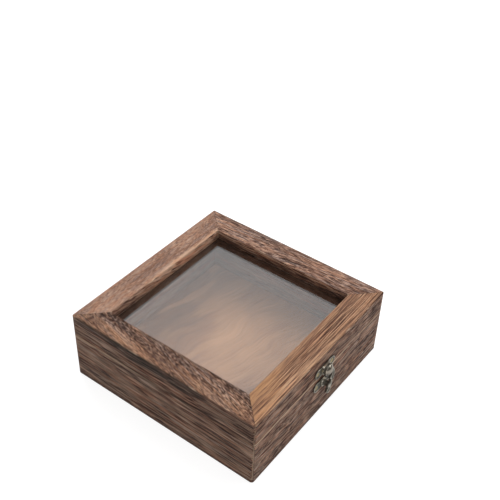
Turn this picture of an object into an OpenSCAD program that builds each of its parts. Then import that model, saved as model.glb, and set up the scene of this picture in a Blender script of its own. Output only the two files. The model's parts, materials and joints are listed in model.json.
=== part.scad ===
// Insect specimen box: a mitred wooden case with a glazed lid on two butt hinges
// and a swinging hook latch. Front is -Y, the origin is the middle of the underside.

/* [Case] */
// Width of the case, left to right
case_w = 180; // [140:1:260]
// Depth of the case, front to back
case_d = 180; // [140:1:260]
// Height of the body, from the underside to the seam below the lid
body_h = 43.5; // [40:0.5:70]
// Thickness of the four body boards
board_t = 9; // [9:0.5:13]
// Thickness of the base panel below the boards
base_t = 3; // [2.5:0.5:5]
// Thickness of the soft board that takes the pins
pin_board_t = 6.5; // [4:0.5:12]
// Play round the soft board
pin_board_play = 0.5; // [0.3:0.1:1]
// Radius of the upright outer corners
corner_r = 2.5; // [0.8:0.1:3]
// Chamfer on the outer edges that meet at the seam
seam_ease = 0.6; // [0.4:0.1:1]

/* [Lid] */
// Height of the lid above the seam
lid_h = 21; // [18:0.5:26]
// Width of the lid rails, seen from above
rail_w = 22; // [17:0.5:26]
// Radius on the outer top edge of the rails
outer_edge_r = 1.2; // [0.6:0.1:2]
// Radius on the inner top edge of the rails
inner_edge_r = 0.9; // [0.5:0.1:2]
// Depth from the top of the lid to the glass
glass_drop = 9; // [6:0.5:10]
// Thickness of the glass
glass_t = 2; // [1.5:0.5:3]
// Depth of the groove that holds the glass
groove_depth = 5; // [3:0.5:7]
// Play round and above the glass in its groove
glass_play = 0.3; // [0.2:0.1:0.6]

/* [Latch] */
// Length of the two latch plates
plate_l = 27.2; // [25:0.2:32]
// Radius of the round ends of the plates
plate_end_r = 4.8; // [4.5:0.1:5.4]
// Height of the plates between their ends
plate_waist = 8.8; // [8:0.2:9.4]
// Thickness of the plates
plate_t = 1.2; // [1:0.1:1.6]
// Width of the raised rim on plates and hook
rim_w = 0.7; // [0.5:0.1:0.9]
// Height of the raised rim
rim_h = 0.35; // [0.2:0.05:0.5]
// Distance between the two screws of a plate
plate_screw_pitch = 19.6; // [18.6:0.2:20.4]
// Gap between the hook plate and the seam
plate_seam_gap = 1.6; // [0.6:0.1:4]
// Radius of the cup pressed into the hook plate
cup_r = 5.6; // [5.2:0.1:6.4]
// Height of the cup above the wood
cup_h = 2.6; // [2.4:0.1:3.4]
// Radius of the cup pressed into the keeper plate
keeper_cup_r = 4; // [3.9:0.1:4.8]
// Height of the keeper cup above the wood
keeper_cup_h = 2; // [1.9:0.1:2.2]
// Distance from the hook's pivot down to the middle of the keeper plate
latch_reach = 14.8; // [13.6:0.1:18]
// Distance from the middle of the keeper plate down to its post
post_drop = 0.8; // [0:0.1:1.2]
// Radius of the hook's round head
head_r = 5; // [4.6:0.1:5.4]
// Ledge round the dome on the hook's head
dome_ledge = 0.3; // [0.2:0.1:0.8]
// Height of the dome on the hook's head
dome_h = 2.6; // [1.6:0.1:3]
// Thickness of the hook's arm
arm_t = 2; // [1.6:0.1:2.4]
// Distance that the arm bows out to the side of the pivot
arm_bow = 9.6; // [8.8:0.1:10.6]
// Gap between the barb of the claw and the post's neck
barb_gap = 1; // [0.8:0.1:1.4]
// Height of the barb above the middle of the post
barb_rise = 2.8; // [2.4:0.1:3.2]
// Distance from the post across to the finger tab
tab_side = 3.3; // [2.8:0.1:4]
// Distance from the post down to the finger tab
tab_drop = 10.4; // [9.6:0.1:11.4]
// Radius of the hook's finger tab
tab_r = 2.8; // [2.4:0.1:3.2]
// Radius of the rivet that carries the hook
rivet_r = 1.4; // [1.1:0.1:1.8]
// Radius of the keeper post's neck
neck_r = 2.2; // [1.8:0.1:2.3]
// Radius of the keeper post's knob
knob_r = 2.75; // [2.4:0.05:3]
// Length of the keeper post's knob
knob_l = 2.4; // [1.2:0.1:3]

/* [Hinges] */
// Distance from the middle of the case to each hinge
hinge_x = 50; // [30:1:58]
// Length of a hinge
hinge_l = 20; // [16:0.5:26]
// Width of a leaf, from the pin to its free edge
leaf_w = 9.5; // [8.5:0.5:12]
// Thickness of a leaf
leaf_t = 0.9; // [0.7:0.1:1.2]
// Outer radius of the knuckles
knuckle_r = 1.7; // [1.5:0.1:2.2]
// Radius of the hinge pins
hinge_pin_r = 0.85; // [0.7:0.05:1]
// Number of knuckles on a hinge
knuckle_count = 5; // [3:2:7]
// Gap between neighbouring knuckles
knuckle_gap = 0.2; // [0.1:0.05:0.4]
// Gap between the knuckles and the wood
knuckle_wood_gap = 0.2; // [0.1:0.05:0.5]
// Distance between the two screws of a leaf
leaf_screw_pitch = 12; // [9:0.5:14]

/* [Screws] */
// Head radius of the latch screws
latch_screw_head_r = 2.1; // [1.9:0.1:2.4]
// Head radius of the hinge screws
hinge_screw_head_r = 1.8; // [1.6:0.1:2]
// Shank radius of all screws
screw_r = 1; // [0.8:0.05:1.2]
// Length of all screws below the head
screw_l = 6.5; // [5:0.5:7]
// Length of the screws' pointed tips
screw_tip_l = 1.6; // [1:0.1:2.4]
// Height of the crown on the screw heads
screw_crown = 0.4; // [0.2:0.1:0.6]
// Width of the cross recess in the screw heads
recess_w = 0.5; // [0.4:0.05:0.7]

/* [Fits] */
// Radial clearance of pins, rivets and screws in their holes
fit_gap = 0.05; // [0.03:0.01:0.1]
// Clearance between the hook and what it swings over
swing_gap = 0.15; // [0.1:0.05:0.3]

/* [Hidden] */
$fn = 64;

case_h = body_h + lid_h;
glass_top = case_h - glass_drop;
glass_bottom = glass_top - glass_t;
glass_w = case_w - 2 * (rail_w - groove_depth + glass_play);
glass_d = case_d - 2 * (rail_w - groove_depth + glass_play);

field_t = plate_t - rim_h;
pivot_z = body_h + plate_seam_gap + plate_end_r;
keeper_z = pivot_z - latch_reach;
post_z = keeper_z - post_drop;
arm_back = cup_h + swing_gap;
knob_back = arm_back + arm_t + swing_gap;
rivet_tail_t = 0.6;
rivet_tail_rim = 0.7;
cup_wall = 1;
cup_side = 0.8;
past = 1;

axis_out = knuckle_r + knuckle_wood_gap;
leaf_screw_z = (knuckle_r + leaf_w) / 2;
hinge_bore_r = hinge_pin_r + fit_gap;

wood_dark = [0.36, 0.24, 0.17];
wood_tan = [0.52, 0.36, 0.25];
old_brass = [0.45, 0.42, 0.34];
screw_brass = [0.66, 0.57, 0.34];

// Shared shapes

// What a fillet of radius r takes off a square corner at the origin
module fillet_waste(r) {
  difference() {
    translate([-past, -past]) square(r + past);
    translate([r, r]) circle(r);
  }
}

// What a chamfer of size c takes off a square corner at the origin
module chamfer_waste(c) {
  polygon([[-c, 2 * c], [-c, -c], [2 * c, -c]]);
}

// Outline of the case seen from above, with its rounded corners
module case_outline() {
  square([case_w - 2 * corner_r, case_d], center = true);
  square([case_w, case_d - 2 * corner_r], center = true);
  for (x = [-1, 1], y = [-1, 1])
    translate([x * (case_w / 2 - corner_r), y * (case_d / 2 - corner_r)]) circle(corner_r);
}

// A board along X with its outer face at Y = 0, 45 degree mitres and the given section
module mitred_bar(length, width, height) {
  intersection() {
    rotate([90, 0, 90]) translate([0, 0, -length / 2]) linear_extrude(length) children();
    translate([0, 0, -past])
      linear_extrude(height + 2 * past)
        polygon([
          [-length / 2 - past, -past], [length / 2 + past, -past],
          [length / 2 - width - past, width + past], [-length / 2 + width + past, width + past]
        ]);
  }
}

// Puts a bar on one of the four sides and rounds the upright corners
module on_side(side) {
  turn = side == "front" ? 0 : side == "right" ? 90 : side == "back" ? 180 : 270;
  reach = side == "front" || side == "back" ? case_d / 2 : case_w / 2;
  intersection() {
    rotate(turn) translate([0, -reach, 0]) children();
    translate([0, 0, -past]) linear_extrude(case_h + 2 * past) case_outline();
  }
}

function side_length(side) = side == "front" || side == "back" ? case_w : case_d;

// Local Z points out of the front of the case, local Y up
module on_front(z) {
  translate([0, -case_d / 2, z]) rotate([90, 0, 0]) children();
}

// Local Z points out of the back of the case, local Y up
module on_back(x, z) {
  translate([x, case_d / 2, z]) rotate([90, 0, 180]) children();
}

// Body of the case

module body_board_section() {
  difference() {
    translate([0, base_t]) square([board_t, body_h - base_t]);
    translate([0, body_h]) mirror([0, 1]) chamfer_waste(seam_ease);
  }
}

module body_board(side) {
  on_side(side) mitred_bar(side_length(side), board_t, body_h) body_board_section();
}

module front_board() {
  color(wood_dark)
    difference() {
      body_board("front");
      on_front(keeper_z) plate_screw_places() screw_hole(latch_screw_head_r);
    }
}

module back_board() {
  color(wood_dark)
    difference() {
      body_board("back");
      hinge_screw_places(-1) screw_hole(hinge_screw_head_r);
    }
}

module left_board() {
  color(wood_dark) body_board("left");
}

module right_board() {
  color(wood_dark) body_board("right");
}

module base_panel() {
  color(wood_dark) linear_extrude(base_t) case_outline();
}

module pinning_board() {
  inset = 2 * (board_t + pin_board_play);
  color(wood_tan)
    translate([0, 0, base_t])
      linear_extrude(pin_board_t) square([case_w - inset, case_d - inset], center = true);
}

// Lid

module lid_rail_section() {
  difference() {
    translate([0, body_h]) square([rail_w, lid_h]);
    translate([0, body_h]) chamfer_waste(seam_ease);
    translate([0, case_h]) mirror([0, 1]) fillet_waste(outer_edge_r);
    translate([rail_w, case_h]) mirror([0, 1]) mirror([1, 0]) fillet_waste(inner_edge_r);
    translate([rail_w - groove_depth, glass_bottom]) square([groove_depth + past, glass_t + glass_play]);
  }
}

module lid_rail(side) {
  on_side(side) mitred_bar(side_length(side), rail_w, case_h) lid_rail_section();
}

module lid_front_rail() {
  color(wood_dark)
    difference() {
      lid_rail("front");
      on_front(pivot_z) plate_screw_places() screw_hole(latch_screw_head_r);
    }
}

module lid_back_rail() {
  color(wood_dark)
    difference() {
      lid_rail("back");
      hinge_screw_places(1) screw_hole(hinge_screw_head_r);
    }
}

module lid_left_rail() {
  color(wood_dark) lid_rail("left");
}

module lid_right_rail() {
  color(wood_dark) lid_rail("right");
}

module glass_pane() {
  color([0.8, 0.86, 0.88, 0.35])
    translate([0, 0, glass_bottom]) linear_extrude(glass_t) square([glass_w, glass_d], center = true);
}

// Screws

// Countersunk screw with its head's rim at local Z = 0 and a cross recess
module screw(head_r) {
  head_h = head_r - screw_r;
  recess_l = 1.1 * head_r;
  recess_depth = 0.6 * head_h;
  difference() {
    rotate_extrude()
      polygon([
        [0, screw_crown], [0.6 * head_r, 0.8 * screw_crown], [head_r, 0], [screw_r, -head_h],
        [screw_r, screw_tip_l - screw_l], [0, -screw_l]
      ]);
    for (turn = [0, 90])
      rotate(turn) translate([-recess_l / 2, -recess_w / 2, -recess_depth])
        cube([recess_l, recess_w, recess_depth + screw_crown + past]);
  }
}

// Countersunk hole for a screw whose rim lies at local Z = 0, through the sheet and into the wood
module screw_hole(head_r) {
  head_h = head_r - screw_r;
  translate([0, 0, -head_h])
    cylinder(h = head_h + past, r1 = screw_r + fit_gap, r2 = head_r + fit_gap + past);
  translate([0, 0, -screw_l - past]) cylinder(h = screw_l + past, r = screw_r + fit_gap);
}

// Latch

// Where a plate's two screws sit, with their rims on its sunk field
module plate_screw_places() {
  for (x = [-1, 1]) translate([x * plate_screw_pitch / 2, 0, field_t]) children();
}

module plate_outline(inset) {
  for (x = [-1, 1]) translate([x * (plate_l / 2 - plate_end_r), 0]) circle(plate_end_r - inset);
  square([plate_l - 2 * plate_end_r, plate_waist - 2 * inset], center = true);
}

// Stamped plate with a raised rim and two screw holes; its children are the cup's outline
module latch_plate(cup_height) {
  difference() {
    union() {
      difference() {
        linear_extrude(plate_t) plate_outline(0);
        translate([0, 0, field_t]) linear_extrude(plate_t) plate_outline(rim_w);
      }
      linear_extrude(cup_height) children();
    }
    plate_screw_places() screw_hole(latch_screw_head_r);
  }
}

// Hollow behind a cup, with the bore through the cup's face
module cup_hollow(cup_height, hollow_r, bore_r) {
  translate([0, 0, -past]) cylinder(h = past + cup_height - cup_wall, r = hollow_r);
  cylinder(h = cup_height + past, r = bore_r);
}

// The hook plate's cup is round at the sides and flat along the plate's long edges
module hook_plate() {
  color(old_brass)
    on_front(pivot_z)
      difference() {
        latch_plate(cup_h)
          intersection() {
            circle(cup_r);
            square([2 * cup_r, plate_waist], center = true);
          }
        cup_hollow(cup_h, plate_waist / 2 - cup_side, rivet_r + fit_gap);
      }
}

module keeper_plate() {
  color(old_brass)
    on_front(keeper_z)
      difference() {
        latch_plate(keeper_cup_h) translate([0, -post_drop]) circle(keeper_cup_r);
        translate([0, -post_drop, 0]) cup_hollow(keeper_cup_h, keeper_cup_r - cup_side, neck_r + fit_gap);
      }
}

module latch_screws(z) {
  color(screw_brass) on_front(z) plate_screw_places() screw(latch_screw_head_r);
}

module hook_plate_screws() {
  latch_screws(pivot_z);
}

module keeper_plate_screws() {
  latch_screws(keeper_z);
}

// Smooth curve through a list of points, with the given number of steps between them
function curve_point(a, b, c, d, t) =
  (2 * b + (c - a) * t + (2 * a - 5 * b + 4 * c - d) * t * t + (3 * b - a - 3 * c + d) * t * t * t) / 2;
function curve(points, steps) = let (last = len(points) - 1) [
  for (i = [0 : last - 1], s = [0 : steps - 1])
    curve_point(points[max(i - 1, 0)], points[i], points[i + 1], points[min(i + 2, last)], s / steps),
  points[last]
];
function backwards(list) = [for (i = [len(list) - 1 : -1 : 0]) list[i]];

// Places in the hook's plane, seen from the front with its pivot at the origin
curve_steps = 6;
arm_drop = pivot_z - post_z;
post = [0, -arm_drop];
tab = post + [tab_side, -tab_drop];
barb = post + [neck_r + barb_gap, barb_rise];

// A place beside the head: x runs from the head's edge to the arm's bow, y down to the post
function by_head(x, y) = [head_r + x * (arm_bow - head_r), -y * arm_drop];
// A place beside the claw: x runs from the post to the arm's bow, y down to the finger tab
function by_claw(x, y) = post + [x * arm_bow, -y * tab_drop];
function on_ring(r, angle) = r * [cos(angle), sin(angle)];

// Outer edge of the arm, from the head round to the finger tab
arm_outer = curve([
  on_ring(0.95 * head_r, 45), by_head(0, -0.06), by_head(0.24, 0.1), by_head(0.63, 0.3), by_head(0.91, 0.48),
  by_head(1, 0.67), by_claw(0.94, -0.12), by_claw(0.85, 0.17), by_claw(0.74, 0.45), by_claw(0.66, 0.75),
  tab + [tab_r, 0]
], curve_steps);
// Inner edge of the arm, from the head down to the point of the barb
arm_inner_upper = curve([
  by_head(-0.15, 0.1), by_head(0.09, 0.21), by_head(0.24, 0.33), by_head(0.33, 0.5), by_head(0.17, 0.67), barb
], curve_steps);
// Inner edge of the arm, from the barb round the claw to the finger tab
arm_inner_lower = curve([
  barb, by_claw(0.46, -0.19), by_claw(0.55, -0.08), by_claw(0.59, 0.11), by_claw(0.54, 0.385),
  by_claw(0.41, 0.615), tab + on_ring(0.9 * tab_r, 120)
], curve_steps);

module arm_outline() {
  polygon(concat(arm_outer, [tab], backwards(arm_inner_lower), backwards(arm_inner_upper)));
  translate(tab) circle(tab_r);
  circle(head_r);
}

// Cast hook: a domed head on the pivot, an arm with a raised rim, a barbed claw and a finger tab
module hook_arm() {
  dome_r = head_r - dome_ledge;
  dome_sphere_r = (dome_r * dome_r + dome_h * dome_h) / (2 * dome_h);
  color(old_brass)
    on_front(pivot_z)
      translate([0, 0, arm_back])
        difference() {
          union() {
            difference() {
              linear_extrude(arm_t) arm_outline();
              translate([0, 0, arm_t - rim_h]) linear_extrude(arm_t) offset(delta = -rim_w) arm_outline();
            }
            translate([0, 0, arm_t])
              rotate_extrude()
                intersection() {
                  translate([0, dome_h - dome_sphere_r]) circle(dome_sphere_r);
                  translate([0, -rim_h]) square([dome_r, dome_h + 2 * rim_h]);
                }
          }
          translate([0, 0, -past]) cylinder(h = arm_t + past, r = rivet_r + fit_gap);
        }
}

// Rivet fixed in the hook's head, with its tail spread inside the cup
module hook_rivet() {
  tail_top = cup_h - cup_wall - swing_gap;
  tail_bottom = tail_top - rivet_tail_t;
  color(old_brass)
    on_front(pivot_z)
      translate([0, 0, tail_bottom]) {
        cylinder(h = rivet_tail_t, r = rivet_r + rivet_tail_rim);
        cylinder(h = arm_back + arm_t - fit_gap - tail_bottom, r = rivet_r);
      }
}

// Post with a long knob, a neck that the claw goes round, a shoulder on the cup and a tail behind it
module keeper_post() {
  tail_top = keeper_cup_h - cup_wall;
  tail_r = neck_r + rivet_tail_rim;
  shoulder_t = 0.4;
  knob_edge = 0.6;
  color(old_brass)
    on_front(post_z)
      rotate_extrude()
        polygon([
          [0, tail_top - rivet_tail_t], [tail_r, tail_top - rivet_tail_t], [tail_r, tail_top],
          [neck_r, tail_top], [neck_r, keeper_cup_h], [tail_r, keeper_cup_h],
          [tail_r, keeper_cup_h + shoulder_t], [neck_r, keeper_cup_h + shoulder_t],
          [neck_r, knob_back], [knob_r, knob_back], [knob_r, knob_back + knob_l - knob_edge],
          [knob_r - knob_edge, knob_back + knob_l], [0, knob_back + knob_l]
        ]);
}

// Hinges

// Where the screws of both upper leaves (up is 1) or both lower leaves (up is -1) sit
module hinge_screw_places(up) {
  for (x = [-1, 1], s = [-1, 1])
    on_back(x * hinge_x + s * leaf_screw_pitch / 2, body_h + up * leaf_screw_z)
      translate([0, 0, leaf_t]) children();
}

// One leaf lying on the back: up is 1 for the lid, -1 for the body, and takes every other knuckle
module hinge_leaf(x, up) {
  leaf_corner_r = 1.5;
  pitch = hinge_l / knuckle_count;
  first = up == 1 ? 1 : 0;
  difference() {
    union() {
      on_back(x, body_h)
        linear_extrude(leaf_t)
          difference() {
            translate([-hinge_l / 2, up == 1 ? axis_out : -leaf_w]) square([hinge_l, leaf_w - axis_out]);
            for (s = [-1, 1])
              translate([s * hinge_l / 2, up * leaf_w])
                mirror([s > 0 ? 1 : 0, 0]) mirror([0, up > 0 ? 1 : 0]) fillet_waste(leaf_corner_r);
          }
      for (k = [first : 2 : knuckle_count - 1])
        on_back(x, body_h) translate([-hinge_l / 2 + k * pitch + knuckle_gap / 2, 0, 0]) {
          translate([0, 0, axis_out]) rotate([0, 90, 0]) cylinder(h = pitch - knuckle_gap, r = knuckle_r);
          translate([0, up == 1 ? 0 : -axis_out - past, 0])
            cube([pitch - knuckle_gap, axis_out + past, leaf_t]);
        }
    }
    on_back(x, body_h)
      translate([-hinge_l, 0, axis_out]) rotate([0, 90, 0]) cylinder(h = 2 * hinge_l, r = hinge_bore_r);
    hinge_screw_places(up) screw_hole(hinge_screw_head_r);
  }
}

module hinge_pin(x) {
  color(old_brass)
    translate([x - hinge_l / 2, case_d / 2 + axis_out, body_h])
      rotate([0, 90, 0]) cylinder(h = hinge_l, r = hinge_pin_r);
}

module left_hinge_body_leaf() {
  color(old_brass) hinge_leaf(-hinge_x, -1);
}

module left_hinge_lid_leaf() {
  color(old_brass) hinge_leaf(-hinge_x, 1);
}

module left_hinge_pin() {
  hinge_pin(-hinge_x);
}

module right_hinge_body_leaf() {
  color(old_brass) hinge_leaf(hinge_x, -1);
}

module right_hinge_lid_leaf() {
  color(old_brass) hinge_leaf(hinge_x, 1);
}

module right_hinge_pin() {
  hinge_pin(hinge_x);
}

module hinge_body_screws() {
  color(screw_brass) hinge_screw_places(-1) screw(hinge_screw_head_r);
}

module hinge_lid_screws() {
  color(screw_brass) hinge_screw_places(1) screw(hinge_screw_head_r);
}

front_board();
back_board();
left_board();
right_board();
base_panel();
pinning_board();
lid_front_rail();
lid_back_rail();
lid_left_rail();
lid_right_rail();
glass_pane();
hook_plate();
hook_arm();
hook_rivet();
hook_plate_screws();
keeper_plate();
keeper_post();
keeper_plate_screws();
left_hinge_body_leaf();
left_hinge_lid_leaf();
left_hinge_pin();
right_hinge_body_leaf();
right_hinge_lid_leaf();
right_hinge_pin();
hinge_body_screws();
hinge_lid_screws();
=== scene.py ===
import json
import math

import bpy
from mathutils import Matrix, Vector

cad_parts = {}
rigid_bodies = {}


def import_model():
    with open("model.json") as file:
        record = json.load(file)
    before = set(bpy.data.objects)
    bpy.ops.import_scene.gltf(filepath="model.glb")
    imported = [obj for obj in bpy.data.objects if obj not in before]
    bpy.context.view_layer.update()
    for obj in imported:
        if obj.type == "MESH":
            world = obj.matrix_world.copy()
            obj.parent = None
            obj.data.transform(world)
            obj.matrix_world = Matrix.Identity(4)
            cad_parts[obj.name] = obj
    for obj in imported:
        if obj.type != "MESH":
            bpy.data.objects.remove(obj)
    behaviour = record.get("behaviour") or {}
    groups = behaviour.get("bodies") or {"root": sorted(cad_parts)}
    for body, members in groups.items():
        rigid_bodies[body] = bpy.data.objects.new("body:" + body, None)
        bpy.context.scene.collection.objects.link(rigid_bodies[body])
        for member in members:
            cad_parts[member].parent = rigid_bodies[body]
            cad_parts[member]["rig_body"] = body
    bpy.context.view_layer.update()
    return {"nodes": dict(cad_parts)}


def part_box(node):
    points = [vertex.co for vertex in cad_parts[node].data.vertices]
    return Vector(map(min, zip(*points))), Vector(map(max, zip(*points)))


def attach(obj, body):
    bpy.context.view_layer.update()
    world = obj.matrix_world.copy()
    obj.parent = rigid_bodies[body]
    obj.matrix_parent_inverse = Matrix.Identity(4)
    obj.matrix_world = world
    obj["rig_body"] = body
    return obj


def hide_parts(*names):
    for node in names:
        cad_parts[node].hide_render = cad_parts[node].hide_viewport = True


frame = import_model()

scene = bpy.context.scene
scene.view_settings.view_transform = "Standard"
cadNodes = frame["nodes"]
mm = 1000  # patterns are laid out in millimetres
print("frame loaded,", len(cadNodes), "pieces")


def boxInMm(node):
    low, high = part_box(node)
    return low * mm, high * mm


def middleZ(node):
    low, high = boxInMm(node)
    return (low.z + high.z) / 2


# sizes of the case in mm, read from its pieces
lidLow, lidHigh = boxInMm("lid_front_rail")
boardLow, boardHigh = boxInMm("front_board")
halfCase = -lidLow.y
seamZ = lidLow.z
lidTop = lidHigh.z
baseTop = boardLow.z
railWidth = lidHigh.y - lidLow.y
boardWidth = boardHigh.y - boardLow.y
glassTop = boxInMm("glass_pane")[1].z
pinningTop = boxInMm("pinning_board")[1].z
hookPlateZ = middleZ("hook_plate")
keeperPlateZ = middleZ("keeper_plate")


def srgb(red, green, blue):
    def linear(part):
        part = part / 255
        return part / 12.92 if part <= 0.04045 else ((part + 0.055) / 1.055) ** 2.4
    return (linear(red), linear(green), linear(blue), 1)


class Finish:  # one material, built node by node
    def __init__(self, name):
        self.material = bpy.data.materials.new(name)
        self.material.use_nodes = True
        self.tree = self.material.node_tree
        self.tree.nodes.clear()
        self.skin = self.put("BsdfPrincipled")
        self.end = self.put("OutputMaterial", Surface=self.skin.outputs[0])

    def feed(self, socket, value):
        if isinstance(value, bpy.types.NodeSocket):
            self.tree.links.new(value, socket)
        else:
            socket.default_value = value

    def put(self, kind, settings=None, **feeds):
        node = self.tree.nodes.new("ShaderNode" + kind)
        for key, value in (settings or {}).items():
            setattr(node, key, value)
        for key, value in feeds.items():
            self.feed(node.inputs[key.replace("_", " ")], value)
        return node

    def operate(self, kind, operation, terms):
        node = self.put(kind, {"operation": operation})
        for socket, term in zip(node.inputs, terms):
            self.feed(socket, term)
        return node

    def calc(self, operation, *terms):
        return self.operate("Math", operation, terms).outputs[0]

    def vector(self, operation, *terms):
        return self.operate("VectorMath", operation, terms).outputs["Vector"]

    def times(self, first, *factors):
        for factor in factors:
            first = self.calc("MULTIPLY", first, factor)
        return first

    def total(self, *terms):  # sum of (value, weight) pairs
        result = 0.0
        for value, weight in terms:
            result = self.calc("MULTIPLY_ADD", value, weight, result)
        return result

    def fade(self, value, share):  # from 1 where value is 0, down by share where it is 1
        return self.calc("MULTIPLY_ADD", value, -share, 1.0)

    def gap(self, value, level):  # distance from a level
        return self.calc("ABSOLUTE", self.calc("SUBTRACT", value, level))

    def step(self, value, low, high, start=0.0, end=1.0):  # smooth step from start to end
        feeds = {"Value": value, "From_Min": low, "From_Max": high, "To_Min": start, "To_Max": end}
        return self.put("MapRange", {"interpolation_type": "SMOOTHSTEP"}, **feeds).outputs[0]

    def scaled(self, place, size):
        return self.vector("DIVIDE", place, size)

    def noise(self, place, size, detail=2.0, roughness=0.5):  # size of the grains in mm, each way
        feeds = {"Vector": self.scaled(place, size), "Scale": 1.0, "Detail": detail, "Roughness": roughness}
        return self.put("TexNoise", **feeds).outputs[0]

    def strokes(self, place, size):  # short strokes along x, from -1 for dark to 0.5 for pale
        cell = self.put("TexVoronoi", Vector=self.scaled(place, size), Scale=1.0)
        shape = self.step(cell.outputs["Distance"], 0.52, 0.34)
        chance = self.put("SeparateXYZ", Vector=cell.outputs["Color"]).outputs[0]
        return self.times(shape, self.calc("MULTIPLY_ADD", chance, 1.5, -1.0))

    def mix(self, share, first, second, mode="MIX"):
        node = self.put("Mix", {"data_type": "RGBA", "blend_type": mode})
        for index, value in ((0, share), (6, first), (7, second)):
            self.feed(node.inputs[index], value)
        return node.outputs[2]

    def ramp(self, value, stops):
        node = self.put("ValToRGB", Fac=value)
        elements = node.color_ramp.elements
        for element, (place, colour) in zip((elements[0], elements[1]), (stops[0], stops[-1])):
            element.position = place
            element.color = colour
        for place, colour in stops[1:-1]:
            elements.new(place).color = colour
        return node.outputs[0]

    def wander(self, place, size, depth):  # place, pushed about by a soft noise, in mm
        noise = self.put("TexNoise", Vector=self.scaled(place, size), Scale=1.0, Detail=1.0)
        return self.vector("MULTIPLY_ADD", noise.outputs[1], depth, place)

    # 1 inside a rounded patch and 0 outside it, with an edge that wanders
    def patch(self, place, centre, reach, ragged, edge=(1.6, 0.9)):
        shift = [-c / r for c, r in zip(centre, reach)]
        scale = [1 / r for r in reach]
        scaled = self.put("Mapping", Vector=place, Location=shift, Scale=scale).outputs[0]
        length = self.operate("VectorMath", "LENGTH", [scaled]).outputs["Value"]
        return self.step(self.calc("ADD", length, ragged), *edge)

    def bump(self, height, depth):  # depth in metres
        return self.put("Bump", Strength=1.0, Distance=depth, Height=height).outputs[0]


# torched and brushed wood; sizes and distances in mm
burntWood = {
    "char": srgb(57, 38, 30),
    "umber": srgb(95, 65, 52),
    "chestnut": srgb(128, 95, 79),
    "tan": srgb(170, 132, 108),
    "straw": srgb(208, 171, 143),
    "bareAndHighlit": srgb(226, 196, 168),
    "redCast": srgb(140, 92, 70),
    "greyCast": srgb(110, 102, 102),
    "goldCast": srgb(190, 138, 84),
    "soot": srgb(50, 42, 36),
    "redShare": (0.35, 0.65),  # on top, on the sides
    "scratchShare": (0.15, 0.35),
    "dashShare": (-0.85, 0.6),  # dark dashes, pale dashes
    "crowding": 0.18,
    "bareAndHighlitShare": 0.85,
    "warps": [((130.0, 40.0, 30.0), 16.0), ((24.0, 7.0, 7.0), 4.0)],  # size, depth
    "streak": {"size": (52.0, 2.6, 2.6), "detail": 4.0, "roughness": 0.62},
    "band": {"size": (180.0, 8.0, 8.0)},
    "fibre": {"size": (14.0, 0.4, 0.4), "roughness": 0.6},
    "blotch": {"size": (48.0, 22.0, 13.0)},
    "dash": {"detail": 1.5},
    "line": {"detail": 3.0, "roughness": 0.6},
    "scratch": {"size": (20.0, 0.5, 0.5), "detail": 1.0},
    "hue": {"size": (40.0, 1.8, 1.6)},
    "rub": {"size": (14.0, 3.0, 3.0), "detail": 3.0, "roughness": 0.6},
    "bandWeight": 0.4,
    "fibreWeight": 0.26,
    "blotchWeight": 0.25,
    # noise levels between which something sets in and, where given, its strength at both
    "fibreLevels": (0.36, 0.64),
    "darkDashLevels": (0.52, 0.58),
    "paleDashLevels": (0.45, 0.37),
    "lineLevels": (0.41, 0.59, -1.0, 1.0),
    "scratchLevels": (0.60, 0.68),
    "redLevels": (0.47, 0.62),
    "greyLevels": (0.56, 0.36, 0.3, 1.7),
    "cornerLevels": (0.3, 0.5),
    "edgeFade": 0.15,  # from the level where a worn edge starts to the one where it is bare
    # the same for levels of tone and marks
    "goldLevels": (0.35, 0.8),
    "sootLevels": (-0.6, 0.2, 0.6, 1.0),
    "patchLevels": (0.0, 0.4, 1.0, 0.5),  # pale patches get less of the painted shade
    "roughness": (0.1, 0.9, 0.75, 0.55),
    "flatNormal": (0.45, 0.85),  # upright part of the normal, on sides and on tops
    "innerFace": (0.8, 0.3),  # distances from the inner face between which its look sets in
    "charFoot": 0.6,  # height over the glass at which the painted shade above it is full
    "innerShadeRise": (0.5, -0.1),  # heights over the glass between which the painted shade below it sets in
    "cornerReach": (1.2, 0.8),  # worn upright edges: where they start, where they are bare
    "edgeCore": 0.6,  # share of a worn edge's reach that is bare
    "nookHighlightReach": (1.3, 0.5),  # painted highlight in the inner corners above the glass
    "nookHighlightRise": (0.5, 2.0),
    "nookHighlightShare": 0.6,
    "hairline": (0.45, 0.1),
    "hairlineStart": (0.8, 1.6),
    "hairlineShare": 0.6,
    "specular": 0.25,
    "relief": {"marks": 1.0, "fibre": 0.4, "streak": 0.4, "calmInside": 0.8},
    "bumpDepth": 0.0003,  # in metres, as the easing of the edges
    "ease": 0.0002,
}
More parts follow.
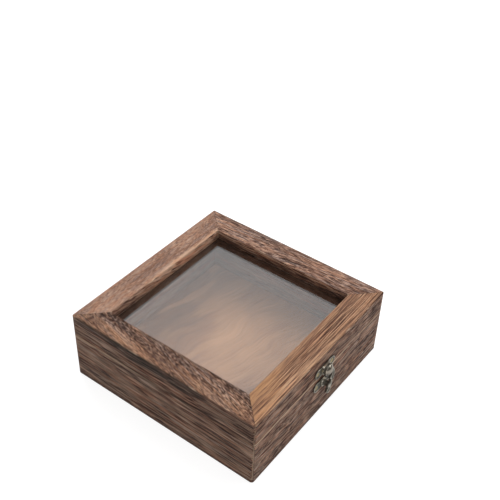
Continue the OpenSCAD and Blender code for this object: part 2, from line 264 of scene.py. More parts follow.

# turn: side of the case; slant, lean: grain's angle seen from above and from the side
# gold: share of golden wood on top
# seam: where along the board the pale seam line, worn wood with a painted highlight, starts to fade, where
# it has faded, and to what share
# top, side: wave: how much the grain wanders; dash, line, stroke: length, width and strength of marks;
#   streak: strength of the streaks; tone, grey: how light, how grey
# inside: change of the inner face's tone, its painted shade above and below the glass, calming of its
# marks,
#   and how far below the lid's top the painted shade starts
# patches: change of tone, calming of the marks, more or less gold, some of them painted light and shade;
# burns: share of soot
boardLooks = {
    "front_board": {
        "turn": 0, "slant": 0, "lean": 1, "seed": (210, 31, 7), "gold": 0.0, "seam": (0.0, 60.0, 0.7),
        "top": {"wave": 0.3, "dash": (12.0, 1.0, 0.2), "line": (46.0, 0.8, 0.1),
                "stroke": (14.0, 1.2, 0.1), "streak": 0.6, "tone": 0.5, "grey": 0.1},
        "side": {"wave": 0.7, "dash": (13.0, 0.65, 0.68), "line": (60.0, 0.65, 0.28),
                 "stroke": (12.0, 1.0, 0.8), "streak": 0.4, "tone": 0.7, "grey": 0.16},
        "inside": {"tone": 0.1, "above": 0.2, "below": 0.2, "calm": 0.8, "start": 1.5},
        # a pale chip, a painted shadow under it, painted shade round the keeper
        "patches": [{"centre": (-43.8, 0.0, 18.7), "reach": (2.0, 2.0, 1.6), "tone": 1.7, "calm": 1.0},
                    {"centre": (-41.6, 0.0, 16.4), "reach": (3.4, 2.0, 2.4), "tone": -0.55},
                    {"centre": (0.0, 0.0, keeperPlateZ), "reach": (20.0, 4.0, 7.0), "tone": -0.35}]},
    "right_board": {
        "turn": 90, "slant": 2, "lean": -1, "seed": (530, 77, 19), "gold": 0.0, "seam": (-20.0, 60.0, 0.3),
        "top": {"wave": 0.3, "dash": (12.0, 1.0, 0.2), "line": (40.0, 0.9, 0.1),
                "stroke": (14.0, 1.2, 0.1), "streak": 0.6, "tone": 0.5, "grey": 0.1},
        "side": {"wave": 0.6, "dash": (12.0, 0.7, 0.5), "line": (50.0, 0.65, 0.22),
                 "stroke": (14.0, 1.0, 0.45), "streak": 0.4, "tone": 0.62, "grey": 0.14},
        "inside": {"tone": 0.2, "above": 0.2, "below": 0.15, "calm": 0.8, "start": 1.5}},
    "back_board": {
        "turn": 180, "slant": 0, "lean": 2, "seed": (890, 12, 45), "gold": 0.0, "seam": (-30.0, 40.0, 0.3),
        "top": {"wave": 0.3, "dash": (12.0, 1.0, 0.2), "line": (46.0, 0.9, 0.1),
                "stroke": (14.0, 1.2, 0.1), "streak": 0.6, "tone": 0.5, "grey": 0.1},
        "side": {"wave": 0.6, "dash": (12.0, 0.7, 0.5), "line": (56.0, 0.65, 0.22),
                 "stroke": (14.0, 1.0, 0.48), "streak": 0.4, "tone": 0.62, "grey": 0.14},
        "inside": {"tone": 0.2, "above": 0.2, "below": 0.15, "calm": 0.8, "start": 1.5}},
    "left_board": {
        "turn": 270, "slant": 0, "lean": -1, "seed": (120, 55, 63), "gold": 0.0, "seam": (-50.0, 10.0, 0.2),
        "top": {"wave": 0.2, "dash": (9.0, 0.9, 0.2), "line": (26.0, 0.8, 0.1),
                "stroke": (16.0, 1.2, 0.1), "streak": 0.6, "tone": 0.5, "grey": 0.1},
        "side": {"wave": 0.25, "dash": (22.0, 0.6, 0.62), "line": (60.0, 0.6, 0.44),
                 "stroke": (30.0, 0.9, 0.5), "streak": 0.4, "tone": 0.75, "grey": 0.12},
        "inside": {"tone": 0.1, "above": 0.2, "below": 0.2, "calm": 0.8, "start": 1.5},
        "burns": [{"centre": (40.0, -1.0, 30.0), "reach": (50.0, 3.0, 9.0), "soot": 0.25},
                  {"centre": (-60.0, -1.0, 12.0), "reach": (30.0, 3.0, 6.0), "soot": 0.2}]},
    "lid_front_rail": {
        "turn": 0, "slant": 0, "lean": 1, "seed": (350, 23, 91), "gold": 0.25, "seam": (0.0, 60.0, 0.7),
        "top": {"wave": 0.1, "dash": (30.0, 0.6, 0.22), "line": (110.0, 0.65, 0.32),
                "stroke": (20.0, 1.0, 0.0), "streak": 0.4, "tone": 0.59, "grey": 0.0},
        "side": {"wave": 0.6, "dash": (14.0, 0.65, 0.62), "line": (70.0, 0.65, 0.26),
                 "stroke": (12.0, 1.0, 0.7), "streak": 0.4, "tone": 0.58, "grey": 0.1},
        "inside": {"tone": 0.0, "above": 0.6, "below": 0.85, "calm": 0.0, "start": 1.5},
        # clear golden wood at the left end and along the inner edge, painted shade round the hook
        "patches": [{"centre": (-66.0, 13.0, lidTop), "reach": (38.0, 16.0, 6.0),
                     "tone": 0.08, "calm": 0.55, "gold": 0.22},
                    {"centre": (10.0, 22.0, lidTop), "reach": (140.0, 9.0, 6.0), "calm": 0.6, "gold": 0.1},
                    {"centre": (0.0, 0.0, hookPlateZ), "reach": (20.0, 4.0, 7.0), "tone": -0.35}]},
    "lid_right_rail": {
        "turn": 90, "slant": -4, "lean": 0, "seed": (640, 48, 27), "gold": 0.05, "seam": (-20.0, 60.0, 0.3),
        "top": {"wave": 0.7, "dash": (6.5, 0.65, 0.42), "line": (40.0, 0.8, 0.14),
                "stroke": (11.0, 1.2, 0.18), "streak": 0.25, "tone": 0.53, "grey": 0.22},
        "side": {"wave": 0.5, "dash": (12.0, 0.7, 0.5), "line": (60.0, 0.65, 0.22),
                 "stroke": (14.0, 1.0, 0.45), "streak": 0.4, "tone": 0.6, "grey": 0.12},
        "inside": {"tone": 0.0, "above": 0.7, "below": 0.85, "calm": 0.0, "start": 1.5}},
    "lid_back_rail": {
        "turn": 180, "slant": 1, "lean": 7, "seed": (770, 66, 38), "gold": 0.05, "seam": (-30.0, 40.0, 0.3),
        "top": {"wave": 0.4, "dash": (5.0, 0.5, 0.15), "line": (60.0, 0.6, 0.07),
                "stroke": (10.0, 1.1, 0.04), "streak": 0.1, "tone": 0.65, "grey": 0.15},
        "side": {"wave": 0.8, "dash": (10.0, 0.75, 0.5), "line": (50.0, 0.7, 0.2),
                 "stroke": (12.0, 1.1, 0.5), "streak": 0.4, "tone": 0.6, "grey": 0.1},
        "inside": {"tone": -0.05, "above": 0.8, "below": 0.97, "calm": 0.0, "start": 4.0},
        # painted light on the inner wall, with golden wood
        "patches": [{"centre": (-16.0, 23.0, lidTop - 5.0), "reach": (76.0, 5.0, 12.0),
                     "tone": 0.5, "gold": 0.2}]},
    "lid_left_rail": {
        "turn": 270, "slant": 13, "lean": 0, "seed": (960, 84, 52), "gold": 0.15,
        "seam": (-50.0, 0.0, 0.15),
        "top": {"wave": 0.35, "dash": (3.8, 0.5, 0.8), "line": (24.0, 0.6, 0.14),
                "stroke": (8.5, 1.0, 0.05), "streak": 0.16, "tone": 0.55, "grey": 0.16},
        "side": {"wave": 0.25, "dash": (22.0, 0.6, 0.66), "line": (60.0, 0.6, 0.42),
                 "stroke": (26.0, 0.9, 0.5), "streak": 0.4, "tone": 0.54, "grey": 0.1},
        "inside": {"tone": 0.0, "above": 0.6, "below": 0.85, "calm": 0.0, "start": 1.5},
        # dark along the inner edge, clear along the outer one
        "patches": [{"centre": (-10.0, 22.0, lidTop), "reach": (150.0, 13.0, 6.0),
                     "tone": -0.16, "gold": -0.15},
                    {"centre": (0.0, 3.0, lidTop), "reach": (140.0, 9.0, 4.0), "calm": 0.55, "gold": 0.16}],
        "burns": [{"centre": (-12.0, -1.0, lidTop - 3.0), "reach": (66.0, 3.0, 9.5), "soot": 1.0},
                  {"centre": (-62.0, -1.0, lidTop - 1.0), "reach": (50.0, 3.0, 5.0), "soot": 0.9}]},
}


class BurntWood(Finish):  # wood of one board, with its own grain
    def __init__(self, name, look, thickness):
        super().__init__(name)
        self.look = look
        self.thickness = thickness
        self.layBoard()
        self.layGrain()
        self.drawMarks()
        self.drawPatches()
        self.setTone()

    def byFace(self, top, side):  # a number that differs between top and side
        return self.calc("MULTIPLY_ADD", self.flat, top - side, side)

    def byLook(self, key):
        return self.byFace(self.look["top"][key], self.look["side"][key])

    def sizeByFace(self, top, side):  # the same for a length along the grain and a width across it
        change = (top[0] - side[0], top[1] - side[1], top[1] - side[1])
        return self.vector("MULTIPLY_ADD", self.flat, change, (side[0], side[1], side[1]))

    def markSize(self, kind):
        return self.sizeByFace(self.look["top"][kind][:2], self.look["side"][kind][:2])

    def markShare(self, kind):
        return self.byFace(self.look["top"][kind][2], self.look["side"][kind][2])

    def layBoard(self):  # board's own frame: x along it, y inwards from its outer face, z up
        texture = self.put("TexCoord")
        turn = (0, 0, -math.radians(self.look["turn"]))
        feeds = {"Location": (0, halfCase, 0), "Rotation": turn, "Scale": (mm, mm, mm)}
        self.place = self.put("Mapping", Vector=texture.outputs["Object"], **feeds).outputs[0]
        self.along, self.inward, self.up = self.put("SeparateXYZ", Vector=self.place).outputs
        self.ends = self.calc("SUBTRACT", halfCase, self.calc("ABSOLUTE", self.along))
        skyward = self.put("SeparateXYZ", Vector=texture.outputs["Normal"]).outputs[2]
        # 1 on tops and undersides, 1 on the inner face
        self.flat = self.step(self.calc("ABSOLUTE", skyward), *burntWood["flatNormal"])
        start, full = [self.thickness - distance for distance in burntWood["innerFace"]]
        self.inner = self.step(self.inward, start, full)

    def layGrain(self):  # grain's frame: x along the fibres, which wander a little
        look = self.look
        slant = (0, 0, math.radians(look["slant"]))
        lean = (0, math.radians(look["lean"]), 0)
        turn = self.vector("MULTIPLY_ADD", self.flat, slant, lean)
        grain = self.put("Mapping", Vector=self.place, Rotation=turn, Location=look["seed"]).outputs[0]
        for size, depth in burntWood["warps"]:
            reach = self.sizeByFace((0, depth * look["top"]["wave"]), (0, depth * look["side"]["wave"]))
            grain = self.wander(grain, size, reach)
        self.grain = grain
        self.streak = self.noise(grain, **burntWood["streak"])
        self.band = self.noise(grain, **burntWood["band"])
        self.fibre = self.step(self.noise(grain, **burntWood["fibre"]), *burntWood["fibreLevels"])
        self.blotch = self.noise(self.place, **burntWood["blotch"])

    def drawMarks(self):  # dashes crowd together in the darker bands
        crowding = burntWood["crowding"]
        crowd = self.calc("MULTIPLY_ADD", self.calc("ADD", self.band, self.blotch), -crowding, crowding)
        dashes = self.noise(self.grain, self.markSize("dash"), **burntWood["dash"])
        dark = self.step(self.calc("ADD", dashes, crowd), *burntWood["darkDashLevels"])
        pale = self.step(dashes, *burntWood["paleDashLevels"])
        dash = self.total(*zip((dark, pale), burntWood["dashShare"]))
        lines = self.noise(self.grain, self.markSize("line"), **burntWood["line"])
        line = self.step(lines, *burntWood["lineLevels"])
        stroke = self.strokes(self.grain, self.markSize("stroke"))
        scratches = self.noise(self.grain, **burntWood["scratch"])
        scratch = self.step(scratches, *burntWood["scratchLevels"])
        scratchShare = self.byFace(*burntWood["scratchShare"])
        marks = self.total((dash, self.markShare("dash")), (line, self.markShare("line")),
                           (stroke, self.markShare("stroke")), (scratch, scratchShare))
        calm = self.fade(self.inner, self.look["inside"]["calm"])
        self.marks = self.times(marks, calm)
        self.streaks = self.times(self.calc("SUBTRACT", self.streak, 0.5), calm)

    def drawPatches(self):
        self.change = 0.0
        self.gold = self.look["gold"]
        for patch in self.look.get("patches", []):
            spot = self.patch(self.place, patch["centre"], patch["reach"], self.blotch)
            self.change = self.calc("MULTIPLY_ADD", spot, patch.get("tone", 0.0), self.change)
            self.gold = self.calc("MULTIPLY_ADD", spot, patch.get("gold", 0.0), self.gold)
            self.marks = self.times(self.marks, self.fade(spot, patch.get("calm", 0.0)))

    def setTone(self):  # from 0 for char to 1 for straw
        noises = [(self.band, burntWood["bandWeight"]), (self.fibre, burntWood["fibreWeight"]),
                  (self.blotch, burntWood["blotchWeight"])]
        tone = self.total((self.marks, 1.0), (self.streaks, self.byLook("streak")), *noises,
                          (self.byLook("tone"), 1.0), (self.change, 1.0),
                          (self.inner, self.look["inside"]["tone"]))
        mean = sum(weight for noise, weight in noises) / 2
        self.tone = self.calc("SUBTRACT", tone, mean)

    def grainColour(self):
        names = ("char", "umber", "chestnut", "tan", "straw")
        colour = self.ramp(self.tone, [(index / 4, burntWood[name]) for index, name in enumerate(names)])
        hue = self.noise(self.grain, **burntWood["hue"])
        redness = self.step(hue, *burntWood["redLevels"])
        redness = self.times(redness, self.byFace(*burntWood["redShare"]))
        colour = self.mix(redness, colour, burntWood["redCast"], "COLOR")
        greyness = self.times(self.step(hue, *burntWood["greyLevels"]), self.byLook("grey"))
        colour = self.mix(greyness, colour, burntWood["greyCast"], "COLOR")
        golden = self.times(self.step(self.tone, *burntWood["goldLevels"]), self.gold, self.flat)
        return self.mix(golden, colour, burntWood["goldCast"])

    def sootAndInnerShade(self, colour):  # sooty patches; painted shade on the inner faces, darker downwards and near char below the glass
        soot = self.step(self.total((self.marks, -1.0), (self.fibre, -0.3)), *burntWood["sootLevels"])
        for burn in self.look.get("burns", []):
            spot = self.patch(self.place, burn["centre"], burn["reach"], self.blotch)
            colour = self.mix(self.times(spot, soot, burn["soot"]), colour, burntWood["soot"])
        inside = self.look["inside"]
        foot = glassTop + burntWood["charFoot"]
        above = self.step(self.up, lidTop - inside["start"], foot, 0.0, inside["above"])
        above = self.times(above, self.step(self.change, *burntWood["patchLevels"]))
        high, low = [glassTop + rise for rise in burntWood["innerShadeRise"]]
        below = self.step(self.up, high, low, 0.0, inside["below"])
        # painted shade on the inner faces, above and below the glass
        innerShade = self.times(self.inner, self.calc("MAXIMUM", above, below))
        return self.mix(innerShade, colour, burntWood["char"])

    # bare wood along the edges, with a painted highlight along the seam's edge, and a painted highlight in
    # the inner corners above the glass
    def worn(self, colour, edges, cornerWear):
        nookHighlight = self.step(self.calc("SUBTRACT", self.ends, self.thickness), *burntWood["nookHighlightReach"])
        low, high = [glassTop + rise for rise in burntWood["nookHighlightRise"]]
        nookHighlight = self.times(nookHighlight, self.inner, self.step(self.up, low, high, 0.0, burntWood["nookHighlightShare"]))
        rub = self.noise(self.place, **burntWood["rub"])
        corner = self.step(self.calc("MAXIMUM", self.inward, self.ends), *burntWood["cornerReach"])
        corner = self.times(corner, self.step(rub, *burntWood["cornerLevels"]), cornerWear)
        bareAndHighlit = self.calc("MAXIMUM", corner, nookHighlight)
        fadeStart, fadeEnd, fadeShare = self.look["seam"]
        seamWearAndHighlight = self.step(self.along, fadeStart, fadeEnd, 1.0, fadeShare)
        for edgeIn, edgeUp, reach, start in edges:
            away = self.calc("MAXIMUM", self.gap(self.inward, edgeIn), self.gap(self.up, edgeUp))
            near = self.step(away, reach, burntWood["edgeCore"] * reach)
            near = self.times(near, self.step(rub, start, start + burntWood["edgeFade"]))
            # the pale seam line is worn wood and a painted highlight
            if edgeUp == seamZ:
                near = self.times(near, seamWearAndHighlight)
            bareAndHighlit = self.calc("MAXIMUM", bareAndHighlit, near)
        return self.mix(self.times(bareAndHighlit, burntWood["bareAndHighlitShare"]), colour, burntWood["bareAndHighlit"])

    def mitred(self, colour):  # dark hairline where two boards meet
        wide, narrow = burntWood["hairline"]
        line = self.step(self.gap(self.ends, self.inward), wide, narrow, 0.0, burntWood["hairlineShare"])
        line = self.times(line, self.step(self.inward, *burntWood["hairlineStart"]))
        return self.mix(line, colour, burntWood["char"])


def burntWoodFinish(name, look, edgeLook):
    wood = BurntWood(name, look, edgeLook["thickness"])
    colour = wood.sootAndInnerShade(wood.grainColour())
    colour = wood.worn(colour, edgeLook["edges"], edgeLook["cornerWear"])
    colour = wood.mitred(colour)
    wood.feed(wood.skin.inputs["Base Color"], colour)
    wood.feed(wood.skin.inputs["Roughness"], wood.step(wood.tone, *burntWood["roughness"]))
    wood.skin.inputs["Specular IOR Level"].default_value = burntWood["specular"]
    relief = burntWood["relief"]
    height = wood.total((wood.marks, relief["marks"]), (wood.fibre, relief["fibre"]),
                        (wood.streak, relief["streak"]))
    height = wood.times(height, wood.fade(wood.inner, relief["calmInside"]))
    wood.feed(wood.skin.inputs["Normal"], wood.bump(height, burntWood["bumpDepth"]))
    return wood.material


def clearSelection():
    bpy.ops.object.select_all(action="DESELECT")


easing = {"merge": 0.000002, "flatAngle": 0.5, "sharpAngle": 28, "smoothAngle": 60, "steps": 2}


# a copy of a CAD piece with its sharp edges eased, which stands for the piece; ease in metres
def easedPiece(node, ease, material):
    source = cadNodes[node]
    clearSelection()
    mesh = source.data.copy()
    piece = bpy.data.objects.new(node + "_eased", mesh)
    scene.collection.objects.link(piece)
    bpy.context.view_layer.objects.active = piece
    piece.select_set(True)
    bpy.ops.mesh.customdata_custom_splitnormals_clear()
    bpy.ops.object.mode_set(mode="EDIT")
    bpy.ops.mesh.select_mode(type="EDGE")
    bpy.ops.mesh.select_all(action="SELECT")
    bpy.ops.mesh.remove_doubles(threshold=easing["merge"])
    bpy.ops.mesh.dissolve_limited(angle_limit=math.radians(easing["flatAngle"]))
    bpy.ops.mesh.select_all(action="DESELECT")
    bpy.ops.mesh.edges_select_sharp(sharpness=math.radians(easing["sharpAngle"]))
    bpy.ops.mesh.bevel(offset=ease, segments=easing["steps"], affect="EDGES", clamp_overlap=True)
    bpy.ops.object.mode_set(mode="OBJECT")
    bpy.ops.object.shade_smooth_by_angle(angle=math.radians(easing["smoothAngle"]))
    bpy.ops.object.modifier_add(type="WEIGHTED_NORMAL")
    piece.modifiers[-1].keep_sharp = True
    bpy.ops.object.modifier_apply(modifier=piece.modifiers[-1].name)
    mesh.materials.clear()
    mesh.materials.append(material)
    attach(piece, source["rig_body"])
    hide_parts(node)


# worn edges: inward, up, reach in mm, and the noise level from which the edge is bare; the edge at the seam
# is also a painted highlight
lidEdges = {"thickness": railWidth, "cornerWear": 0.4,
            "edges": [(0, lidTop, 1.0, 0.56), (railWidth, lidTop, 0.9, 0.56), (0, seamZ, 1.1, 0.42)]}
bodyEdges = {"thickness": boardWidth, "cornerWear": 0.9,
             "edges": [(0, seamZ, 1.2, 0.34), (0, baseTop, 0.8, 0.55)]}
for node, look in boardLooks.items():
    edgeLook = lidEdges if node.startswith("lid") else bodyEdges
    finish = burntWoodFinish(node + "_wood", look, edgeLook)
    easedPiece(node, burntWood["ease"], finish)
print("boards and rails done")


# base panel, alike on all faces
baseFace = {"wave": 0.3, "dash": (12.0, 1.1, 0.2), "line": (50.0, 1.0, 0.08),
            "stroke": (30.0, 1.8, 0.1), "streak": 0.6, "tone": 0.42, "grey": 0.2}
baseLook = {
    "turn": 0, "slant": 2, "lean": 0, "seed": (415, 92, 33), "gold": 0.0, "seam": (0.0, 1.0, 0.0),
    "top": baseFace, "side": baseFace,
    "inside": {"tone": 0.0, "above": 0.0, "below": 0.0, "calm": 0.0, "start": 1.5},
    "ease": 0.0003}
baseEdges = {"thickness": 2 * halfCase, "cornerWear": 0.0, "edges": []}
baseFinish = burntWoodFinish("base_wood", baseLook, baseEdges)
easedPiece("base_panel", baseLook["ease"], baseFinish)

# pinning board; flames, its figure partly painted light and shade from the glass opening: turn, centre,
# reach in mm and change of tone
pinningLook = {
    "light": srgb(206, 153, 114), "mid": srgb(172, 122, 90), "dark": srgb(128, 94, 76),
    "swirl": 26.0, "swirlSize": (46.0, 46.0, 46.0), "grain": 10,
    "band": {"size": (90.0, 11.0, 11.0), "detail": 3.0, "roughness": 0.6},
    "fibre": {"size": (40.0, 1.2, 1.2), "detail": 4.0, "roughness": 0.6},
    "blotch": {"size": (30.0, 18.0, 18.0), "detail": 3.0},
    "bandWeight": 0.3, "fibreWeight": 0.5, "blotchWeight": 0.3, "lightness": 0.13,
    "darkTone": 0.35, "midTone": 0.6, "lightTone": 0.85, "roughness": (0.1, 0.9, 0.7, 0.5),
    "bandRag": 0.75, "fibreRag": 0.35, "edge": (1.6, 1.1), "flameDepth": 60.0,
    "bumpDepth": 0.00015, "ease": 0.0001,
    "flamesAndLightPools": [(36, (-10.0, 54.0), (64.0, 36.0), -0.14), (36, (6.0, 2.0), (62.0, 27.0), 0.05),
               (-10, (-36.0, -46.0), (52.0, 24.0), -0.16), (-16, (30.0, 71.0), (36.0, 5.0), 0.3),
               (20, (74.0, 74.0), (10.0, 6.0), 0.2), (30, (36.0, -28.0), (30.0, 12.0), -0.06)],
}


def pinningFinish():
    look = pinningLook
    wood = Finish("pinning_wood")
    texture = wood.put("TexCoord")
    swirl = look["swirl"]
    feeds = {"Scale": (mm, mm, mm), "Location": (-swirl / 2, -swirl / 2, 0)}
    place = wood.put("Mapping", Vector=texture.outputs["Object"], **feeds).outputs[0]
    place = wood.wander(place, look["swirlSize"], (swirl, swirl, 0))
    grain = wood.put("Mapping", Vector=place, Rotation=(0, 0, math.radians(look["grain"]))).outputs[0]
    band = wood.noise(grain, **look["band"])
    fibre = wood.noise(grain, **look["fibre"])
    blotch = wood.noise(grain, **look["blotch"])
    tone = wood.total((band, look["bandWeight"]), (fibre, look["fibreWeight"]),
                      (blotch, look["blotchWeight"]), (1.0, look["lightness"]))
    ragged = wood.total((band, look["bandRag"]), (fibre, look["fibreRag"]))  # flames end along the grain
    # flames of the figure, some of them a painted pool of light and painted shade from the glass opening
    for turn, centre, reach, change in look["flamesAndLightPools"]:
        turned = Matrix.Rotation(-math.radians(turn), 3, "Z")
        flameAndLightPool = wood.put("Mapping", Vector=place, Rotation=turned.to_euler()).outputs[0]
        middle = turned @ Vector((*centre, pinningTop))
        flameAndLightPool = wood.patch(flameAndLightPool, middle, (*reach, look["flameDepth"]), ragged, look["edge"])
        tone = wood.calc("MULTIPLY_ADD", flameAndLightPool, change, tone)
    colour = wood.ramp(tone, [(look[name + "Tone"], look[name]) for name in ("dark", "mid", "light")])
    wood.feed(wood.skin.inputs["Base Color"], colour)
    wood.feed(wood.skin.inputs["Roughness"], wood.step(tone, *look["roughness"]))
    wood.feed(wood.skin.inputs["Normal"], wood.bump(fibre, look["bumpDepth"]))
    return wood.material


easedPiece("pinning_board", pinningLook["ease"], pinningFinish())
print("base and pinning board done")


# glass
glassLook = {"tint": (0.97, 0.985, 0.98, 1), "mirrorTint": (0.88, 0.95, 1.0, 1),
             "shade": (0.93, 0.95, 0.94, 1), "ior": 1.52, "ease": 0.0003}


def glassFinish():
    glass = Finish("window_glass")
    glass.skin.inputs["Base Color"].default_value = glassLook["tint"]
    glass.skin.inputs["Transmission Weight"].default_value = 1.0
    glass.skin.inputs["IOR"].default_value = glassLook["ior"]
    glass.skin.inputs["Roughness"].default_value = 0.0
    glass.skin.inputs["Specular Tint"].default_value = glassLook["mirrorTint"]
    glass.skin.inputs["Coat Weight"].default_value = 1.0
    glass.skin.inputs["Coat Roughness"].default_value = 0.0
    # light from lamps and from lit surfaces goes straight through
    clear = glass.put("BsdfTransparent", Color=glassLook["shade"])
    path = glass.put("LightPath")
    shader = glass.skin.outputs[0]
    for kind in ("Is Diffuse Ray", "Is Shadow Ray"):
        pane = glass.put("MixShader", Fac=path.outputs[kind])
        glass.feed(pane.inputs[1], shader)
        glass.feed(pane.inputs[2], clear.outputs[0])
        shader = pane.outputs[0]
    glass.feed(glass.end.inputs["Surface"], shader)
    return glass.material


easedPiece("glass_pane", glassLook["ease"], glassFinish())
print("glass done")


# antique bronze: dark patina in the hollows, bright metal where hands and edges rub; sizes in mm
bronzeLook = {
    "patina": srgb(80, 77, 71), "green": srgb(132, 130, 121), "brown": srgb(124, 112, 98),
    "metal": srgb(242, 234, 216), "worn": srgb(172, 162, 148), "domeShade": srgb(78, 70, 62),
    "spots": {"size": (0.9, 0.9, 0.9), "detail": 4.0, "roughness": 0.65},
    "haze": {"size": (3.5, 3.5, 3.5), "detail": 3.0, "roughness": 0.6},
    # levels between which something sets in, and its strength at both
    "greenLevels": (0.34, 0.66, 0.0, 1.0), "brownLevels": (0.50, 0.72, 0.0, 0.6),
    "brightLevels": (0.36, 0.22, 0.0, 0.5), "dullLevels": (0.36, 0.58, 0.4, 1.0),
    "skywardHighlightLevels": (-0.5, 0.3, 0.5, 1.0), "roughness": (0.0, 1.0, 0.42, 0.2),
    # domeShade, domeShadeRise: painted shade on the dome's lower part, and the heights round its middle
    # between which it fades out
    "plateThickness": 1.2, "domeHeight": 2.6, "footEdge": (0.05, 0.35), "domeShadeRise": (-2.7, 2.3),
    # bright metal: how far from the outermost face it starts, how far it is full, and its share
    "plateRub": (0.25, 0.05, 0.8), "hookRub": (0.25, 0.05, 0.85),
    "postRub": (0.7, 0.1, 0.6), "hingeRub": (1.2, 0.0, 0.7),
    "bumpDepth": 0.00005, "plateEase": 0.00015, "castEase": 0.0002, "hingeEase": 0.0001,
}


# outermost: the rubbed face's distance from the case's middle plane
# dome: height of the middle of the hook's dome, where there is one
def bronzeFinish(name, outermost, rub, dome=None):
    look = bronzeLook
    bronze = Finish(name)
    texture = bronze.put("TexCoord")
    local = bronze.put("Mapping", Vector=texture.outputs["Object"], Scale=(mm, mm, mm)).outputs[0]
    skyward = bronze.put("SeparateXYZ", Vector=texture.outputs["Normal"]).outputs[2]
    axes = bronze.put("SeparateXYZ", Vector=local).outputs
    out = bronze.calc("ABSOLUTE", axes[1])
    spots = bronze.noise(local, **look["spots"])
    haze = bronze.noise(local, **look["haze"])
    colour = bronze.mix(bronze.step(haze, *look["greenLevels"]), look["patina"], look["green"])
    colour = bronze.mix(bronze.step(spots, *look["brownLevels"]), colour, look["brown"])
    start, full, share = rub
    rubbed = bronze.step(out, outermost - start, outermost - full, 0.0, share)
    shine = bronze.calc("MAXIMUM", bronze.step(spots, *look["brightLevels"]), rubbed)
    shine = bronze.times(shine, bronze.step(haze, *look["dullLevels"]))
    # painted highlight: the bright metal is brighter on faces that look up, duller on those that look down
    shine = bronze.times(shine, bronze.step(skyward, *look["skywardHighlightLevels"]))
    colour = bronze.mix(shine, colour, look["metal"])
    if dome:  # worn smooth all over, with painted shade on its lower part
        edge, inside = [outermost + rise for rise in look["footEdge"]]
        low, high = [dome + rise for rise in look["domeShadeRise"]]
        worn = bronze.step(out, edge, inside)
        # painted reflection of the shadowed plate: the dome darker towards its bottom
        domeLit = bronze.step(bronze.total((axes[2], 1.0), (haze, 2.0)), low, high)
        colour = bronze.mix(worn, colour, bronze.mix(domeLit, look["domeShade"], look["worn"]))
        shine = bronze.calc("MAXIMUM", shine, worn)
    bronze.feed(bronze.skin.inputs["Base Color"], colour)
    bronze.skin.inputs["Metallic"].default_value = 1.0
    bronze.feed(bronze.skin.inputs["Roughness"], bronze.step(shine, *look["roughness"]))
    bronze.feed(bronze.skin.inputs["Normal"], bronze.bump(spots, look["bumpDepth"]))
    return bronze.material


plateRim = halfCase + bronzeLook["plateThickness"]
hookRim = -boxInMm("hook_arm")[0].y - bronzeLook["domeHeight"]
knobEnd = -boxInMm("keeper_post")[0].y
knuckleOut = boxInMm("left_hinge_body_leaf")[1].y
plateBronze = bronzeFinish("plate_bronze", plateRim, bronzeLook["plateRub"])
hookBronze = bronzeFinish("hook_bronze", hookRim, bronzeLook["hookRub"], hookPlateZ)
postBronze = bronzeFinish("post_bronze", knobEnd, bronzeLook["postRub"])
hingeBronze = bronzeFinish("hinge_bronze", knuckleOut, bronzeLook["hingeRub"])
for node in ("hook_plate", "keeper_plate"):
    easedPiece(node, bronzeLook["plateEase"], plateBronze)
easedPiece("hook_arm", bronzeLook["castEase"], hookBronze)
for node in ("hook_rivet", "keeper_post"):
    easedPiece(node, bronzeLook["castEase"], postBronze)
for side in ("left", "right"):
    for part in ("body_leaf", "lid_leaf", "pin"):
        easedPiece(side + "_hinge_" + part, bronzeLook["hingeEase"], hingeBronze)

# brass screws; recessFrom, recessTo: heights above the wood between which the cross recess turns dark, a
# painted shade
brassLook = {"brass": srgb(216, 200, 158), "dull": srgb(150, 136, 102), "recess": srgb(38, 31, 22),
             "spots": {"size": (0.8, 0.8, 0.8), "detail": 3.0}, "roughness": (0.3, 0.7, 0.3, 0.45),
             "recessFrom": 0.85, "recessTo": 0.55, "ease": 0.00008}


def brassFinish():
    brass = Finish("screw_brass")
    texture = brass.put("TexCoord")
    place = brass.put("Mapping", Vector=texture.outputs["Object"], Scale=(mm, mm, mm)).outputs[0]
    spots = brass.noise(place, **brassLook["spots"])
    out = brass.calc("ABSOLUTE", brass.put("SeparateXYZ", Vector=place).outputs[1])
    colour = brass.mix(spots, brassLook["brass"], brassLook["dull"])
    # painted shade in the cross recess
    recess = brass.step(out, halfCase + brassLook["recessFrom"], halfCase + brassLook["recessTo"])
    colour = brass.mix(recess, colour, brassLook["recess"])
    brass.feed(brass.skin.inputs["Base Color"], colour)
    brass.skin.inputs["Metallic"].default_value = 1.0
    brass.feed(brass.skin.inputs["Roughness"], brass.step(spots, *brassLook["roughness"]))
    return brass.material


screwBrass = brassFinish()
for node in ("hook_plate_screws", "keeper_plate_screws", "hinge_body_screws", "hinge_lid_screws"):
    easedPiece(node, brassLook["ease"], screwBrass)
print("fittings done")


# stage: pale floor, soft studio world, three panels, camera
floorLook = {"size": 6.0, "colour": (0.36, 0.36, 0.36, 1), "lift": 0.82, "mirrored": 0.45}


def makeFloor():
    clearSelection()
    bpy.ops.mesh.primitive_plane_add(size=floorLook["size"])
    floor = bpy.context.object
    floor.name = "studio_floor"
    paper = Finish("floor_paper")
    paper.skin.inputs["Base Color"].default_value = floorLook["colour"]
    paper.skin.inputs["Roughness"].default_value = 0.9
    paper.skin.inputs["Specular IOR Level"].default_value = 0.0
    paper.skin.inputs["Emission Color"].default_value = (1, 1, 1, 1)
    path = paper.put("LightPath")
    mirrored = paper.times(path.outputs["Is Glossy Ray"], floorLook["mirrored"])
    seen = paper.calc("MAXIMUM", path.outputs["Is Camera Ray"], mirrored)
    seen = paper.calc("MAXIMUM", seen, path.outputs["Is Transmission Ray"])
    paper.feed(paper.skin.inputs["Emission Strength"], paper.times(seen, floorLook["lift"]))
    floor.data.materials.append(paper.material)


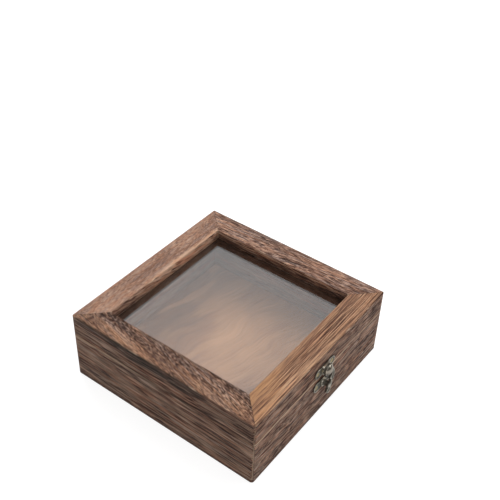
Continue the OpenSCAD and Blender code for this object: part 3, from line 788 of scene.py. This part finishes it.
# from: azimuth and elevation of the brightest part
# spread: cosines of the angles from it between which the light grows, and its strength at both
# mirror: what shiny things show
studioLook = {
    "light": {"from": (105, 50), "spread": (-0.6, 0.9, 0.2, 0.75)},
    "mirror": {"from": (180, 53), "spread": (0.1, 0.7, 0.15, 1.0)},
}


def heading(azimuth, elevation):  # unit vector towards a place round the case, azimuth 0 in front
    a, e = math.radians(azimuth), math.radians(elevation)
    return Vector((math.sin(a) * math.cos(e), -math.cos(a) * math.cos(e), math.sin(e)))


def makeWorld():
    world = bpy.data.worlds.new("soft_studio")
    scene.world = world
    world.use_nodes = True
    tree = world.node_tree
    tree.nodes.clear()

    def put(kind, operation=None):
        node = tree.nodes.new("ShaderNode" + kind)
        if operation:
            node.operation = operation
        return node

    def graded(look):  # light that grows towards a place in the studio
        facing = put("VectorMath", "DOT_PRODUCT")
        tree.links.new(direction, facing.inputs[0])
        facing.inputs[1].default_value = heading(*look["from"])
        grade = put("MapRange")
        grade.interpolation_type = "SMOOTHSTEP"
        tree.links.new(facing.outputs["Value"], grade.inputs["Value"])
        for key, value in zip(("From Min", "From Max", "To Min", "To Max"), look["spread"]):
            grade.inputs[key].default_value = value
        light = put("Background")
        tree.links.new(grade.outputs[0], light.inputs["Strength"])
        light.inputs["Color"].default_value = (1, 1, 1, 1)
        return light.outputs[0]

    def choose(share, first, second):
        mix = put("MixShader")
        for socket, value in zip(mix.inputs, (share, first, second)):
            tree.links.new(value, socket)
        return mix.outputs[0]

    direction = put("TexCoord").outputs["Generated"]
    path = put("LightPath").outputs
    shader = choose(path["Is Glossy Ray"], graded(studioLook["light"]), graded(studioLook["mirror"]))
    # plain white where it is seen
    white = put("Background")
    white.inputs["Color"].default_value = (1, 1, 1, 1)
    seen = put("Math", "MAXIMUM")
    tree.links.new(path["Is Camera Ray"], seen.inputs[0])
    tree.links.new(path["Is Transmission Ray"], seen.inputs[1])
    shader = choose(seen.outputs[0], shader, white.outputs[0])
    tree.links.new(shader, put("OutputWorld").inputs["Surface"])


panelLooks = {
    "key_panel": {"from": (140, 56), "distance": 1.3, "size": 0.8, "power": 7.5, "mirrored": False},
    "left_panel": {"from": (-30, 44), "distance": 1.1, "size": 0.35, "power": 1.0, "mirrored": True},
    "right_panel": {"from": (42, 38), "distance": 1.1, "size": 0.55, "power": 1.9, "mirrored": True},
}


def makePanel(name, look):
    lamp = bpy.data.lights.new(name, "AREA")
    lamp.energy = look["power"]
    lamp.size = look["size"]
    panel = bpy.data.objects.new(name, lamp)
    back = heading(*look["from"])
    panel.location = back * look["distance"]
    panel.rotation_euler = back.to_track_quat("Z", "Y").to_euler()
    panel.visible_glossy = look["mirrored"]
    panel.visible_transmission = look["mirrored"]
    scene.collection.objects.link(panel)


cameraLook = {"azimuth": -54.895, "elevation": 39.054, "roll": 2.499, "distance": 0.6724,
              "target": (0.02217, 0.0, 0.10574), "lens": 61.17}


def makeCamera():
    data = bpy.data.cameras.new("photo_camera")
    data.lens = cameraLook["lens"]
    camera = bpy.data.objects.new("photo_camera", data)
    back = heading(cameraLook["azimuth"], cameraLook["elevation"])
    side = Vector((0, 0, 1)).cross(back).normalized()
    turn = Matrix((side, back.cross(side), back)).transposed()
    roll = Matrix.Rotation(math.radians(cameraLook["roll"]), 3, "Z")
    place = Vector(cameraLook["target"]) + cameraLook["distance"] * back
    camera.matrix_world = Matrix.Translation(place) @ (turn @ roll).to_4x4()
    scene.collection.objects.link(camera)
    scene.camera = camera


makeFloor()
makeWorld()
for name, look in panelLooks.items():
    makePanel(name, look)
makeCamera()
print("stage done")
